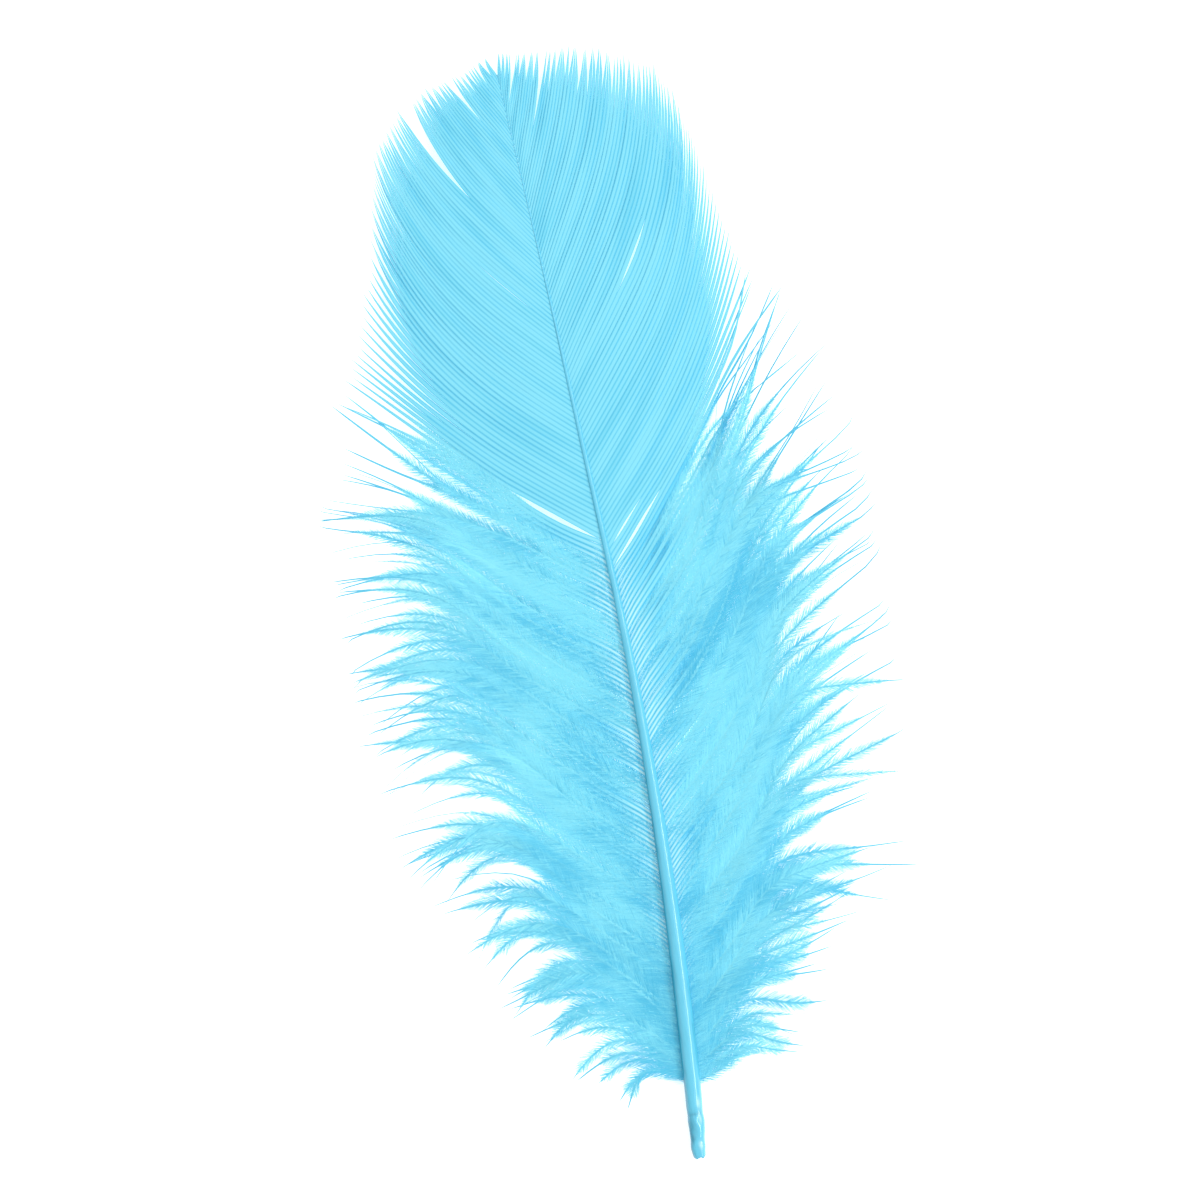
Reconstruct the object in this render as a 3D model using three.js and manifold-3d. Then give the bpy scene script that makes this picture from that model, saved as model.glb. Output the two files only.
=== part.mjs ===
// A dyed turkey plume lying on a table, its smooth upper side up: one grown piece, a tapering shaft
// with a webbed vane on each side of its upper half and soft downy locks on each side of its lower half.
// Millimetres, +Z up. +Y runs along the feather from the cut end of the quill to the tip, the table is
// z = 0, and the origin is on the table under the middle of the feather's outline.
import * as THREE from "three";
import { mergeVertices } from "three/addons/utils/BufferGeometryUtils.js";
import Module from "manifold-3d";

// Driving dimensions. "Along" counts from the cut end of the quill towards the tip.
const SHAFT_LENGTH = 146.6;
const DOWN_FROM = 10.2; // the bare quill ends here
const QUILL_RADIUS = 1.12;
const ARCH = 5.2; // how far the middle of the shaft arches off the table
const QUILL_REST = 0.7; // height of the middle of the cut end over the table, which flattens it a little
const TIP_REST = 0.42; // the same at the shaft's tip
const MARGIN_REST = 0.08; // the same at the vane's edge
const LOCK_REST = 0.34; // the same where a downy lock lies on the table
const MIDDLE = { x: 2.206, y: 74.544 }; // middle of the outline, before the origin is moved there
const FEATHER_BLUE = 0x7edcf8;

// The webbed vane. Each side is a sheet with a ridge along each lock of barbs and a valley between.
const VANE_LOCKS = 23; // on each side
const VANE_STOPS_SHORT = 0.9; // of the shaft's tip
const RIDGE_THICKNESS = 0.62;
const VALLEY_THICKNESS = 0.34;
const TIP_THICKNESS = 0.26;
const JOINED_SHARE = 0.93; // the part of their length that neighbouring locks stay joined, at most
const UNEVEN_JOIN = 0.09; // how much less that is here and there
const LOOSE_FOOT = { locks: 6, less: 0.24 }; // the lowest locks of the vane part earlier

// The down. Every other lock lies over its neighbours.
const DOWN_LOCKS = 26; // on each side
const BASE_CROWDING = 1.22; // above 1, the locks stand closer together near the quill
const FULL_LOCK_LENGTH = 30; // a shorter lock is narrower and thinner too
const LOCK_LIFT = 2.6; // how much higher the upper locks lie
const UNEVEN = { out: 0.08, leaves: 6, ends: 16 }; // spread of the locks' reach and of their angles

// The reach of a barb's curve from its root and back from its tip, as shares of its length: it turns
// more near its root.
const EARLY_TURN = 0.3;
const LATE_TURN = 0.42;

// Centre line of the shaft, seen from above: how far it stands to the right of the straight line
// from its cut end to its tip, and its radius, each at a distance along it.
const SHAFT_BOW = [
  [0, 0],
  [11, 0.9],
  [32, 2.3],
  [65, 3.2],
  [98, 2.2],
  [128, 0.9],
  [SHAFT_LENGTH, 0],
];
const SHAFT_RADIUS = [
  [0, 0.78],
  [3.5, 1.0],
  [7, QUILL_RADIUS],
  [20, 1.06],
  [45, 0.9],
  [65, 0.64],
  [98, 0.42],
  [SHAFT_LENGTH, 0.3],
];
const SHAFT_FLATTENING = 0.96; // its height as a share of its width
const RAGGED_END = 0.45; // how unevenly the quill is cut

// How the barbs grow on each side: a barb's root along the shaft, the angle at which it leaves the
// shaft, its tip (how far out from the feather's axis and how far along it) and the angle at its tip.
// The vane begins where the down ends. splits are the places where the edge is parted deeply: the
// root of the barbs that part and the share of their length that stays joined.
const LEFT = {
  side: -1,
  vaneFrom: 82.5,
  splits: [{ along: 120.5, joined: 0.46 }],
  barbs: [
    { along: 10.2, leaves: 62, out: 8.2, tipAlong: 8.8, ends: 128 },
    { along: 11.5, leaves: 52, out: 12.5, tipAlong: 12.0, ends: 116 },
    { along: 14, leaves: 46, out: 18.5, tipAlong: 19.0, ends: 108 },
    { along: 18, leaves: 48, out: 22.3, tipAlong: 26.5, ends: 104 },
    { along: 24, leaves: 52, out: 26.0, tipAlong: 35.5, ends: 102 },
    { along: 32, leaves: 55, out: 29.0, tipAlong: 43.0, ends: 100 },
    { along: 42, leaves: 57, out: 31.2, tipAlong: 54.5, ends: 98 },
    { along: 52, leaves: 57, out: 32.0, tipAlong: 65.5, ends: 98 },
    { along: 62, leaves: 57, out: 33.2, tipAlong: 77.5, ends: 94 },
    { along: 72, leaves: 57, out: 34.0, tipAlong: 90.5, ends: 80 },
    { along: 79, leaves: 57, out: 31.6, tipAlong: 101.0, ends: 62 },
    { along: 83, leaves: 56, out: 28.6, tipAlong: 110.0, ends: 48 },
    { along: 88.5, leaves: 52, out: 24.2, tipAlong: 119.0, ends: 28 },
    { along: 94, leaves: 50, out: 20.9, tipAlong: 127.5, ends: 12 },
    { along: 99.5, leaves: 47, out: 19.0, tipAlong: 134.0, ends: 8 },
    { along: 105, leaves: 45, out: 17.7, tipAlong: 139.2, ends: 7 },
    { along: 116, leaves: 38, out: 14.2, tipAlong: 143.4, ends: 14 },
    { along: 127, leaves: 32, out: 9.6, tipAlong: 146.6, ends: 20 },
    { along: 137.5, leaves: 24, out: 5.0, tipAlong: 147.7, ends: 26 },
    { along: SHAFT_LENGTH, leaves: 4, out: 0.4, tipAlong: 149.5, ends: 5 },
  ],
};
const RIGHT = {
  side: 1,
  vaneFrom: 78.5,
  splits: [],
  barbs: [
    { along: 10.2, leaves: 62, out: 9.6, tipAlong: 10.0, ends: 108 },
    { along: 11.5, leaves: 54, out: 15.2, tipAlong: 12.6, ends: 98 },
    { along: 14, leaves: 46, out: 20.0, tipAlong: 18.5, ends: 88 },
    { along: 18, leaves: 46, out: 25.5, tipAlong: 27.5, ends: 76 },
    { along: 24, leaves: 48, out: 31.0, tipAlong: 37.5, ends: 70 },
    { along: 32, leaves: 50, out: 34.6, tipAlong: 48.5, ends: 66 },
    { along: 42, leaves: 52, out: 37.0, tipAlong: 62.5, ends: 66 },
    { along: 50, leaves: 51, out: 37.8, tipAlong: 74.0, ends: 62 },
    { along: 58, leaves: 50, out: 37.0, tipAlong: 85.5, ends: 56 },
    { along: 66, leaves: 48, out: 35.2, tipAlong: 96.5, ends: 46 },
    { along: 72, leaves: 46, out: 33.4, tipAlong: 104.5, ends: 38 },
    { along: 78, leaves: 44, out: 30.2, tipAlong: 111.0, ends: 30 },
    { along: 83, leaves: 43, out: 28.2, tipAlong: 119.0, ends: 22 },
    { along: 88.5, leaves: 41, out: 25.8, tipAlong: 127.0, ends: 14 },
    { along: 94, leaves: 40, out: 24.2, tipAlong: 135.0, ends: 6 },
    { along: 99.5, leaves: 36, out: 22.2, tipAlong: 141.0, ends: 0 },
    { along: 105, leaves: 33, out: 19.9, tipAlong: 144.2, ends: 5 },
    { along: 116, leaves: 28, out: 14.2, tipAlong: 147.4, ends: 8 },
    { along: 127, leaves: 23, out: 8.6, tipAlong: 149.0, ends: 13 },
    { along: 137.5, leaves: 16, out: 3.8, tipAlong: 149.2, ends: 14 },
    { along: SHAFT_LENGTH, leaves: 2, out: 0.1, tipAlong: 149.6, ends: 2 },
  ],
};

// A repeatable number from 0 to 1 for each pair of whole numbers.
function chance(first, second) {
  const spread = Math.sin(first * 12.9898 + second * 78.233) * 43758.5453;
  return spread - Math.floor(spread);
}

// The value at a distance along the shaft, read from a table of [along, value] rows.
function read(table, along) {
  const last = table.length - 1;
  const place = THREE.MathUtils.clamp(along, table[0][0], table[last][0]);
  let row = 0;
  while (row < last - 1 && table[row + 1][0] < place) row += 1;
  const [start, low] = table[row];
  const [end, high] = table[row + 1];
  return low + ((high - low) * (place - start)) / (end - start);
}

// A smooth version of the same, for the shaft's centre line.
function smoothCurve(table) {
  return new THREE.CatmullRomCurve3(table.map(([along, value]) => new THREE.Vector3(value, along, 0)));
}

const bowCurve = smoothCurve(SHAFT_BOW);

function shaftHeight(along) {
  const share = THREE.MathUtils.clamp(along / SHAFT_LENGTH, 0, 1);
  const rest = THREE.MathUtils.lerp(QUILL_REST, TIP_REST, share);
  return rest + ARCH * Math.sin(Math.PI * share);
}

// A point on the shaft's centre line.
function shaftPoint(along) {
  let low = 0;
  let high = 1;
  for (let turn = 0; turn < 24; turn += 1) {
    const middle = (low + high) / 2;
    if (bowCurve.getPoint(middle).y < along) low = middle;
    else high = middle;
  }
  return new THREE.Vector3(bowCurve.getPoint(low).x, along, shaftHeight(along));
}

// The growth of a barb with its root anywhere on one side, between the rows of its table.
function growth({ barbs }, along) {
  const last = barbs.length - 1;
  const place = THREE.MathUtils.clamp(along, barbs[0].along, barbs[last].along);
  let row = 0;
  while (row < last - 1 && barbs[row + 1].along < place) row += 1;
  const share = (place - barbs[row].along) / (barbs[row + 1].along - barbs[row].along);
  const between = (key) => THREE.MathUtils.lerp(barbs[row][key], barbs[row + 1][key], share);
  return {
    leaves: between("leaves"),
    out: between("out"),
    tipAlong: between("tipAlong"),
    ends: between("ends"),
  };
}

// A barb's line as seen from above, as a curve that leaves the shaft and ends at its two angles.
function barbCurve(side, along, { leaves, out, tipAlong, ends }) {
  const root = shaftPoint(along).setZ(0);
  const tip = new THREE.Vector3(side * out, tipAlong, 0);
  const reach = root.distanceTo(tip);
  const heading = (degrees) => {
    const turned = THREE.MathUtils.degToRad(degrees);
    return new THREE.Vector3(side * Math.sin(turned), Math.cos(turned), 0);
  };
  const leaving = root.clone().addScaledVector(heading(leaves), EARLY_TURN * reach);
  const ending = tip.clone().addScaledVector(heading(ends), -LATE_TURN * reach);
  return new THREE.CubicBezierCurve3(root, leaving, ending, tip);
}

// A closed body through rings of points. Each ring is a flat loop whose first half runs across the top
// and whose second half runs back across the bottom, so that its ends close as strips.
function loft(rings) {
  const around = rings[0].length;
  const positions = rings.flat().flatMap((point) => [point.x, point.y, point.z]);
  const faces = [];
  const quad = (a, b, c, d) => faces.push(a, b, c, a, c, d);
  for (let ring = 0; ring + 1 < rings.length; ring += 1) {
    for (let i = 0; i < around; i += 1) {
      const next = (i + 1) % around;
      const here = ring * around;
      quad(here + i, here + next, here + around + next, here + around + i);
    }
  }
  const end = (rings.length - 1) * around;
  for (let i = 0; i + 1 < around / 2; i += 1) {
    const across = around - 1 - i;
    quad(i, across, across - 1, i + 1);
    quad(end + i, end + i + 1, end + across - 1, end + across);
  }
  const geometry = new THREE.BufferGeometry();
  geometry.setAttribute("position", new THREE.Float32BufferAttribute(positions, 3));
  geometry.setIndex(faces);
  return geometry;
}

const wasm = await Module();
wasm.setup();

// The geometry as a solid, turned the right way round if its loops ran the other way.
function solid(geometry) {
  const bare = geometry.index ? geometry.clone() : geometry;
  bare.deleteAttribute("normal");
  bare.deleteAttribute("uv");
  const merged = mergeVertices(bare, 1e-4);
  const triVerts = new Uint32Array(merged.index.array);
  const vertProperties = merged.attributes.position.array;
  const made = new wasm.Manifold(new wasm.Mesh({ numProp: 3, vertProperties, triVerts }));
  if (made.volume() > 0) return made;
  for (let i = 0; i < triVerts.length; i += 3) {
    [triVerts[i], triVerts[i + 1]] = [triVerts[i + 1], triVerts[i]];
  }
  return new wasm.Manifold(new wasm.Mesh({ numProp: 3, vertProperties, triVerts }));
}

// The shaft: widest in the bare quill, which narrows again to its cut end, and fine at the tip.
function makeShaft() {
  const around = 12;
  const places = [0, 1.2, 3.5, 5.2, 7, 9, 12, 20, 30, 42, 54, 66, 78, 90, 102, 114, 126, 136, SHAFT_LENGTH];
  const rings = places.map((along) => {
    const centre = shaftPoint(along);
    const radius = read(SHAFT_RADIUS, along);
    return Array.from({ length: around }, (_, i) => {
      const turn = Math.PI - (2 * Math.PI * (i + 0.5)) / around;
      const longer = along === 0 ? RAGGED_END * chance(i, 3) : 0;
      return new THREE.Vector3(
        centre.x + radius * Math.cos(turn),
        along - longer,
        centre.z + radius * SHAFT_FLATTENING * Math.sin(turn),
      );
    });
  });
  return solid(loft(rings));
}

// How much of its length a vane lock keeps joined to its neighbour. The loose barbs at the foot of
// the vane part early, and here and there a deep split runs in from the edge.
function joinedShare({ side, splits }, edge, along, pitch) {
  const split = splits.find((place) => Math.abs(place.along - along) <= pitch / 2);
  if (split) return split.joined;
  const loose = THREE.MathUtils.clamp(1 - edge / LOOSE_FOOT.locks, 0, 1);
  return JOINED_SHARE - UNEVEN_JOIN * chance(edge, side) - LOOSE_FOOT.less * loose;
}

// One side's webbed vane: a thin arched sheet with a ridge along each lock and a valley between
// locks, whose edge is cut into points.
function makeVane(half) {
  const rows = 7;
  const columns = 2 * VANE_LOCKS + 1;
  const pitch = (SHAFT_LENGTH - VANE_STOPS_SHORT - half.vaneFrom) / VANE_LOCKS;
  const lines = Array.from({ length: columns }, (_, column) => {
    const along = half.vaneFrom + (pitch * column) / 2;
    const isRidge = column % 2 === 1;
    const reach = isRidge ? 1 : joinedShare(half, column / 2, along, pitch);
    const rootThickness = isRidge ? RIDGE_THICKNESS : VALLEY_THICKNESS;
    const curve = barbCurve(half.side, along, growth(half, along));
    return Array.from({ length: rows }, (_, row) => {
      const share = (reach * row) / (rows - 1);
      const thick = THREE.MathUtils.lerp(rootThickness, TIP_THICKNESS, share ** 2);
      const height = THREE.MathUtils.lerp(shaftHeight(along), MARGIN_REST, share ** 1.6);
      return { middle: curve.getPoint(share).setZ(height), up: new THREE.Vector3(0, 0, thick / 2) };
    });
  });
  const rings = Array.from({ length: rows }, (_, row) => {
    const across = lines.map((line) => line[row]);
    const upper = across.map(({ middle, up }) => middle.clone().add(up));
    const lower = across.map(({ middle, up }) => middle.clone().sub(up));
    return [...upper, ...lower.reverse()];
  });
  return solid(loft(rings));
}

// One downy lock: a soft tapering plume that swells past its middle and ends in a fine point.
// Each row is a share of its length, its width and its depth there.
const LOCK_SHAPE = [
  [0, 2.2, 0.9],
  [0.14, 2.4, 1.1],
  [0.34, 3.6, 1.9],
  [0.56, 4.7, 2.3],
  [0.78, 3.7, 1.6],
  [0.92, 1.7, 0.8],
  [1, 0.25, 0.25],
];
function makeLock(half, index) {
  const share = (index + 0.2) / DOWN_LOCKS;
  const along = DOWN_FROM + (half.vaneFrom - DOWN_FROM) * share ** BASE_CROWDING;
  const key = index + (half.side > 0 ? 100 : 0);
  const shape = growth(half, along);
  shape.out *= 1 + UNEVEN.out * (chance(key, 1) - 0.6);
  shape.leaves += UNEVEN.leaves * (chance(key, 2) - 0.5);
  shape.ends += UNEVEN.ends * (chance(key, 3) - 0.5);
  const curve = barbCurve(half.side, along, shape);
  const size = Math.min(1, curve.getLength() / FULL_LOCK_LENGTH);
  const lift = index % 2 ? LOCK_LIFT * size : 0;
  const rings = LOCK_SHAPE.map(([reached, width, depth]) => {
    const heading = curve.getTangent(reached);
    const across = new THREE.Vector3(heading.y, -heading.x, 0);
    across.multiplyScalar((width * (0.45 + 0.55 * size)) / 2);
    const up = new THREE.Vector3(0, 0, (depth * (0.5 + 0.5 * size)) / 2);
    const resting = LOCK_REST + 0.5 * lift * (1 - reached ** 4);
    const height = THREE.MathUtils.lerp(resting, shaftHeight(along) - 0.2, (1 - reached) ** 2);
    const middle = curve.getPoint(reached).setZ(height + 0.8 * lift * Math.sin(Math.PI * reached));
    return [across.clone().negate(), up, across, up.clone().negate()].map((away) => away.add(middle));
  });
  return solid(loft(rings));
}

// Everything below the table, which flattens what lies on it.
function makeTable() {
  const depth = 40;
  return solid(new THREE.BoxGeometry(400, 400, depth).translate(0, 0, -depth / 2));
}

function makeFeather() {
  let whole = makeShaft();
  for (const half of [LEFT, RIGHT]) {
    whole = whole.add(makeVane(half));
    for (let index = 0; index < DOWN_LOCKS; index += 1) whole = whole.add(makeLock(half, index));
  }
  return whole.subtract(makeTable());
}

function meshOf(name, body) {
  const { vertProperties, triVerts, numProp, numVert } = body.getMesh();
  const positions = new Float32Array(numVert * 3);
  for (let i = 0; i < numVert; i += 1) {
    positions.set(vertProperties.subarray(i * numProp, i * numProp + 3), i * 3);
  }
  const geometry = new THREE.BufferGeometry();
  geometry.setAttribute("position", new THREE.BufferAttribute(positions, 3));
  geometry.setIndex(new THREE.BufferAttribute(triVerts, 1));
  geometry.computeVertexNormals();
  const material = new THREE.MeshStandardMaterial({ color: FEATHER_BLUE, roughness: 0.6, metalness: 0 });
  const mesh = new THREE.Mesh(geometry, material);
  mesh.name = name;
  return mesh;
}

const plume = new THREE.Group();
const feather = meshOf("feather", makeFeather());
feather.position.set(-MIDDLE.x, -MIDDLE.y, 0);
plume.add(feather);

export default plume;
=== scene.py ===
"""A dyed turkey plume lying on a pale table, dressed around its solid.

The shaft, the webbed vanes and the down are modelled barb by barb. A barb is a flat rib that runs
along its own curve, and its barbules are fine spikes on both sides of it. One rib and one comb of
barbules are modelled, and every barb is a copy of them, laid along the curve on which it has grown.
Lengths are in millimetres until a mesh is written, which is in metres in the frame of the part.
"""

import math

import bpy
import numpy as np
from bpy.props import FloatProperty, FloatVectorProperty, IntProperty, PointerProperty
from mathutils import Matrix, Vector


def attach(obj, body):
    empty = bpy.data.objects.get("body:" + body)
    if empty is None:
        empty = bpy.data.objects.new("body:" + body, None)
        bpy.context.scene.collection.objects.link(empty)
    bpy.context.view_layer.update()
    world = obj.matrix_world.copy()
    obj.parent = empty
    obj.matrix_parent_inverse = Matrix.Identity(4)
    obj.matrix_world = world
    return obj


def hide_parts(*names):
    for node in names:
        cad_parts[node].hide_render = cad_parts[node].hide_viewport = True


bl_info = {
    "name": "Dyed Turkey Plume",
    "version": (1, 0, 0),
    "blender": (4, 5, 0),
    "location": "View3D > Sidebar > Plume",
    "description": "Builds a dyed turkey plume barb by barb, with a plain stage for it",
    "category": "Object",
}

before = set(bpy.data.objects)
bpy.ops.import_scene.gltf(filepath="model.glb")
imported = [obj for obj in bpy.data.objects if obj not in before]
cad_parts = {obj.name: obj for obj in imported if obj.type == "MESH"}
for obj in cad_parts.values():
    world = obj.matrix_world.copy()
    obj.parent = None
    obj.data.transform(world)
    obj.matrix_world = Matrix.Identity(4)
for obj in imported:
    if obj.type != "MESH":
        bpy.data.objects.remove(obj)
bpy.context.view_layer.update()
MM = 0.001

# The plume's own dimensions, in millimetres. Places along it count from the cut end of the quill,
# the first barb grows at DOWN_FROM, and ARCH is how far the middle of the shaft stands up.
SHAFT_LENGTH = 146.6
DOWN_FROM = 10.2
VANE_TOP = SHAFT_LENGTH - 0.5
ARCH = 5.2

# Heights over the table: of the shaft's axis at its two ends, of the vane's margin and of the
# lowest point of any mesh. The shaft's lower side stands at least SHAFT_CLEARANCE above it.
QUILL_REST = 0.7
TIP_REST = 0.42
MARGIN_REST = 0.33
LOWEST = 0.01
SHAFT_CLEARANCE = 0.02

# The middle of the part's frame, counted from the cut end of the quill.
MIDDLE_X = 2.206
MIDDLE_Y = 74.544

# The shaft's bow to the right of the straight line through its ends, and its radius.
SHAFT_BOW = [(0, 0), (11, 0.9), (32, 2.3), (65, 3.06), (98, 2.06), (128, 0.9), (SHAFT_LENGTH, 0)]
SHAFT_RADIUS = [
    (0, 0.84),
    (1, 0.95),
    (3.5, 1.08),
    (7, 1.13),
    (12, 1.16),
    (20, 1.15),
    (32, 1.04),
    (45, 0.88),
    (58, 0.68),
    (65, 0.6),
    (77, 0.46),
    (90, 0.34),
    (104, 0.25),
    (118, 0.16),
    (132, 0.1),
    (SHAFT_LENGTH, 0.06),
]

# How barbs grow on each side: root along the shaft, angle at which it leaves, tip (out and along)
# and the angle at the tip.
LEFT_BARBS = [
    (10.2, 62, 8.2, 8.8, 128),
    (11.5, 52, 12.5, 12.0, 116),
    (14, 46, 18.5, 19.0, 108),
    (18, 47, 22.3, 26.5, 112),
    (24, 51, 26.0, 35.5, 112),
    (32, 54, 29.0, 43.0, 110),
    (42, 56, 31.2, 54.5, 107),
    (52, 56, 32.0, 65.5, 105),
    (62, 57, 33.2, 77.5, 98),
    (72, 57, 33.4, 90.5, 80),
    (79, 57, 30.6, 101.0, 62),
    (83, 56, 27.9, 110.0, 48),
    (88.5, 52, 24.2, 119.0, 28),
    (94, 50, 20.9, 127.5, 12),
    (99.5, 47, 19.4, 134.8, 8),
    (105, 45, 18.4, 139.8, 7),
    (116, 38, 15.0, 144.0, 14),
    (127, 32, 10.0, 147.0, 20),
    (137.5, 24, 5.0, 147.7, 26),
    (SHAFT_LENGTH, 4, 0.4, 149.5, 5),
]
RIGHT_BARBS = [
    (10.2, 92, 9.0, 9.4, 104),
    (11.2, 74, 14.2, 11.6, 97),
    (14, 46, 20.0, 18.5, 88),
    (18, 46, 25.5, 27.5, 76),
    (24, 48, 30.4, 37.5, 70),
    (32, 50, 33.8, 48.5, 66),
    (42, 52, 37.0, 62.5, 66),
    (50, 51, 38.4, 74.0, 62),
    (58, 50, 37.4, 85.5, 56),
    (66, 47, 36.2, 96.5, 54),
    (72, 45, 34.2, 104.0, 48),
    (78, 43, 30.6, 110.8, 40),
    (83, 43, 27.8, 118.0, 25),
    (88.5, 41, 25.8, 127.0, 14),
    (94, 40, 24.2, 135.0, 6),
    (99.5, 36, 22.6, 141.8, 0),
    (105, 33, 20.8, 145.0, 5),
    (116, 28, 15.2, 148.0, 8),
    (127, 23, 9.2, 149.3, 13),
    (137.5, 16, 3.8, 149.2, 14),
    (SHAFT_LENGTH, 2, 0.1, 149.6, 2),
]

# Distance between the roots of neighbouring barbs, at a distance along the shaft.
BARB_SPACING = [
    (10, 0.38),
    (17, 0.48),
    (27, 0.66),
    (40, 0.73),
    (70, 0.76),
    (90, 0.79),
    (110, 0.77),
    (146, 0.78),
]

# Splits at the vane's edge and slits inside it: root of the barbs that part, the shares of their
# length between which they stand apart, and how far apart. A split that ends at 1 is open there.
LEFT_SPLITS = [
    (120.5, 0.46, 1, 2.2),
    (134, 0.5, 1, 0.9),
    (82.5, 0.03, 0.36, 0.75),
    (112, 0.1, 0.4, 0.12),
]
RIGHT_SPLITS = [
    (140, 0.25, 1, 0.8),
    (132, 0.4, 1, 0.9),
    (103, 0.34, 0.56, 0.4),
    (78.6, 0.02, 0.28, 0.5),
    (81.2, 0.03, 0.18, 0.35),
]

# Share of a barb's length that is webbed, by its root: the down near the shaft only, the vane
# nearly to the margin.
LEFT_WEB = [
    (10, 0.03),
    (18, 0.06),
    (28, 0.14),
    (45, 0.2),
    (70, 0.22),
    (77, 0.24),
    (81.8, 0.3),
    (83.4, 0.58),
    (88, 0.69),
    (96, 0.84),
    (110, 0.9),
    (120, 0.88),
    (130, 0.82),
    (138, 0.7),
    (146, 0.4),
]
RIGHT_WEB = [
    (10, 0.03),
    (18, 0.06),
    (28, 0.15),
    (45, 0.22),
    (66, 0.27),
    (74, 0.34),
    (78, 0.52),
    (86, 0.72),
    (96, 0.86),
    (110, 0.89),
    (120, 0.87),
    (130, 0.8),
    (138, 0.68),
    (146, 0.4),
]

# Downy barbs sweep up beside the shaft before they turn out: the root in the tables above whose
# tip a barb has, by its own root.
LEFT_CARRY = [(10, 10), (20, 22), (40, 45), (60, 65), (74, 77), (80, 81.5), (86, 86), (147, 147)]
RIGHT_CARRY = [
    (10, 10),
    (14, 15),
    (20, 24),
    (30, 38),
    (45, 54),
    (60, 67),
    (70, 74.5),
    (80, 81),
    (88, 88),
    (147, 147),
]

# Length of the barbules by their barb's root, as a share of the longest.
LEFT_FLUFF = [(60, 1), (75, 0.86), (81.6, 0.7), (84, 0.36), (92, 0.14), (100, 0.07)]
RIGHT_FLUFF = [(50, 1), (60, 0.92), (66, 0.8), (72, 0.6), (78, 0.34), (82, 0.14), (90, 0.08)]

# Share of a barb's length at which its barbules end and its bare tip begins.
LEFT_BALD = [(10, 0.9), (30, 0.89), (60, 0.87), (70, 0.84), (78, 0.8), (90, 0.7)]
RIGHT_BALD = [(10, 0.9), (30, 0.9), (50, 0.87), (62, 0.83), (72, 0.77), (82, 0.62)]

# The two sides. Down turns into web between the two places of "woven". Downy barbs are cut short by
# up to "short" of their length, and their tips turn away from the shaft by "lift" more degrees. A
# barb keeps to its direction at the root and at the tip for "sway" of its reach, which drops to the
# two shares below between the places of "steady". Each side's random draws start from its "seed".
LEFT = {
    "name": "left",
    "side": -1,
    "barbs": LEFT_BARBS,
    "woven": (77.0, 84.0),
    "web": LEFT_WEB,
    "carry": LEFT_CARRY,
    "fluff": LEFT_FLUFF,
    "bald": LEFT_BALD,
    "short": 0.17,
    "splits": LEFT_SPLITS,
    "sway": 0.56,
    "steady": (66.0, 88.0),
    "lift": 4,
    "seed": 11,
}
RIGHT = {
    "name": "right",
    "side": 1,
    "barbs": RIGHT_BARBS,
    "woven": (74.0, 82.0),
    "web": RIGHT_WEB,
    "carry": RIGHT_CARRY,
    "fluff": RIGHT_FLUFF,
    "bald": RIGHT_BALD,
    "short": 0.22,
    "splits": RIGHT_SPLITS,
    "sway": 0.7,
    "steady": (62.0, 88.0),
    "lift": 8,
    "seed": 23,
}

# The shares of its reach for which a barb of the vane keeps to its direction at each end.
STEADY_AT_ROOT = 0.3
STEADY_AT_TIP = 0.42

# A rib has this many segments, which are a little shorter near its root, and a barb more woven
# than ALL_WEB bears no barbules.
RIB_SEGMENTS = 20
SHORTER_AT_ROOT = 1.15
ALL_WEB = 0.999

# The thin tips of downy barbs reach past the outline that the tables follow, by this share. Barbs
# whose tips are less than FULL_SIZE out are small ones, with less room to stray and to stand up.
TIPS_PAST_OUTLINE = 0.14
FULL_SIZE = 25
SMALLEST_SIZE = 0.3

# How many neighbouring barbs gather in a tuft and in a plume of down, at the fewest and at the
# most, and by what share. The vane's clumps grow to three barbs between two places along it, and
# draw their tips together by TIPS_DRAWN_BY.
TUFT_OF = (3, 7)
PLUME_OF = (12, 20)
GATHERED_BY = 0.1
CLUMPS_GROW = (84, 104)
TIPS_DRAWN_BY = 0.85

# How uneven barbs are: the vane's lengths, the notches between clumps of barbs where the web
# ends, and how far that end strays from barb to barb, all as shares of a barb's length.
VANE_SHORT = 0.03
WEB_PAST = 0.05
NOTCH = 0.07
WEB_STRAYS = 0.012
SHORTEST_WEB = 0.05
LONGEST_WEB = 0.96

# A downy barb leaves the shaft closer to it than it goes on: by how much, and over what distance.
ROOT_BEND = 1.0
ROOT_BEND_REACH = 1.3

# The pile of down: its lowest barbs rest at PILE_FLOOR over the table and its highest up to
# PILE_HEIGHT over them, and all grow from the shaft at UNDER_AXIS below its axis. The vane waves up
# and down by WAVE.
PILE_FLOOR = 0.4
PILE_HEIGHT = 2.8
UNDER_AXIS = 0.1
WAVE = 0.1
WAVES_ALONG = 1.7
WAVES_OUT = 5

# How far a downy barb strays sideways, with its tuft and by itself: in its bend, in its bare tip,
# which goes off straight, and in its waves.
BEND_WITH_TUFT = 0.6
BEND_ALONE = 0.9
TIP_WITH_TUFT = 2.2
TIP_ALONE = 8.5
WAVY = 0.3

# How far barbs stray in where they turn bald and in tone. The down nearest to the quill is darker
# by DARKER_AT_QUILL, less and less between two places along the shaft.
BALD_STRAYS = 0.05
TONE_STRAYS = 0.35
DARKER_AT_QUILL = 0.8
NEAR_QUILL = (16, 36)

# Tips that stray further than this from the feather's middle line are drawn back by this share.
STRAY_FROM = 35.2
HELD_BACK = 0.6

# The nearest barbs part the most at a split, and others less and less over this distance.
SPLIT_REACH = 2.2

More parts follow.
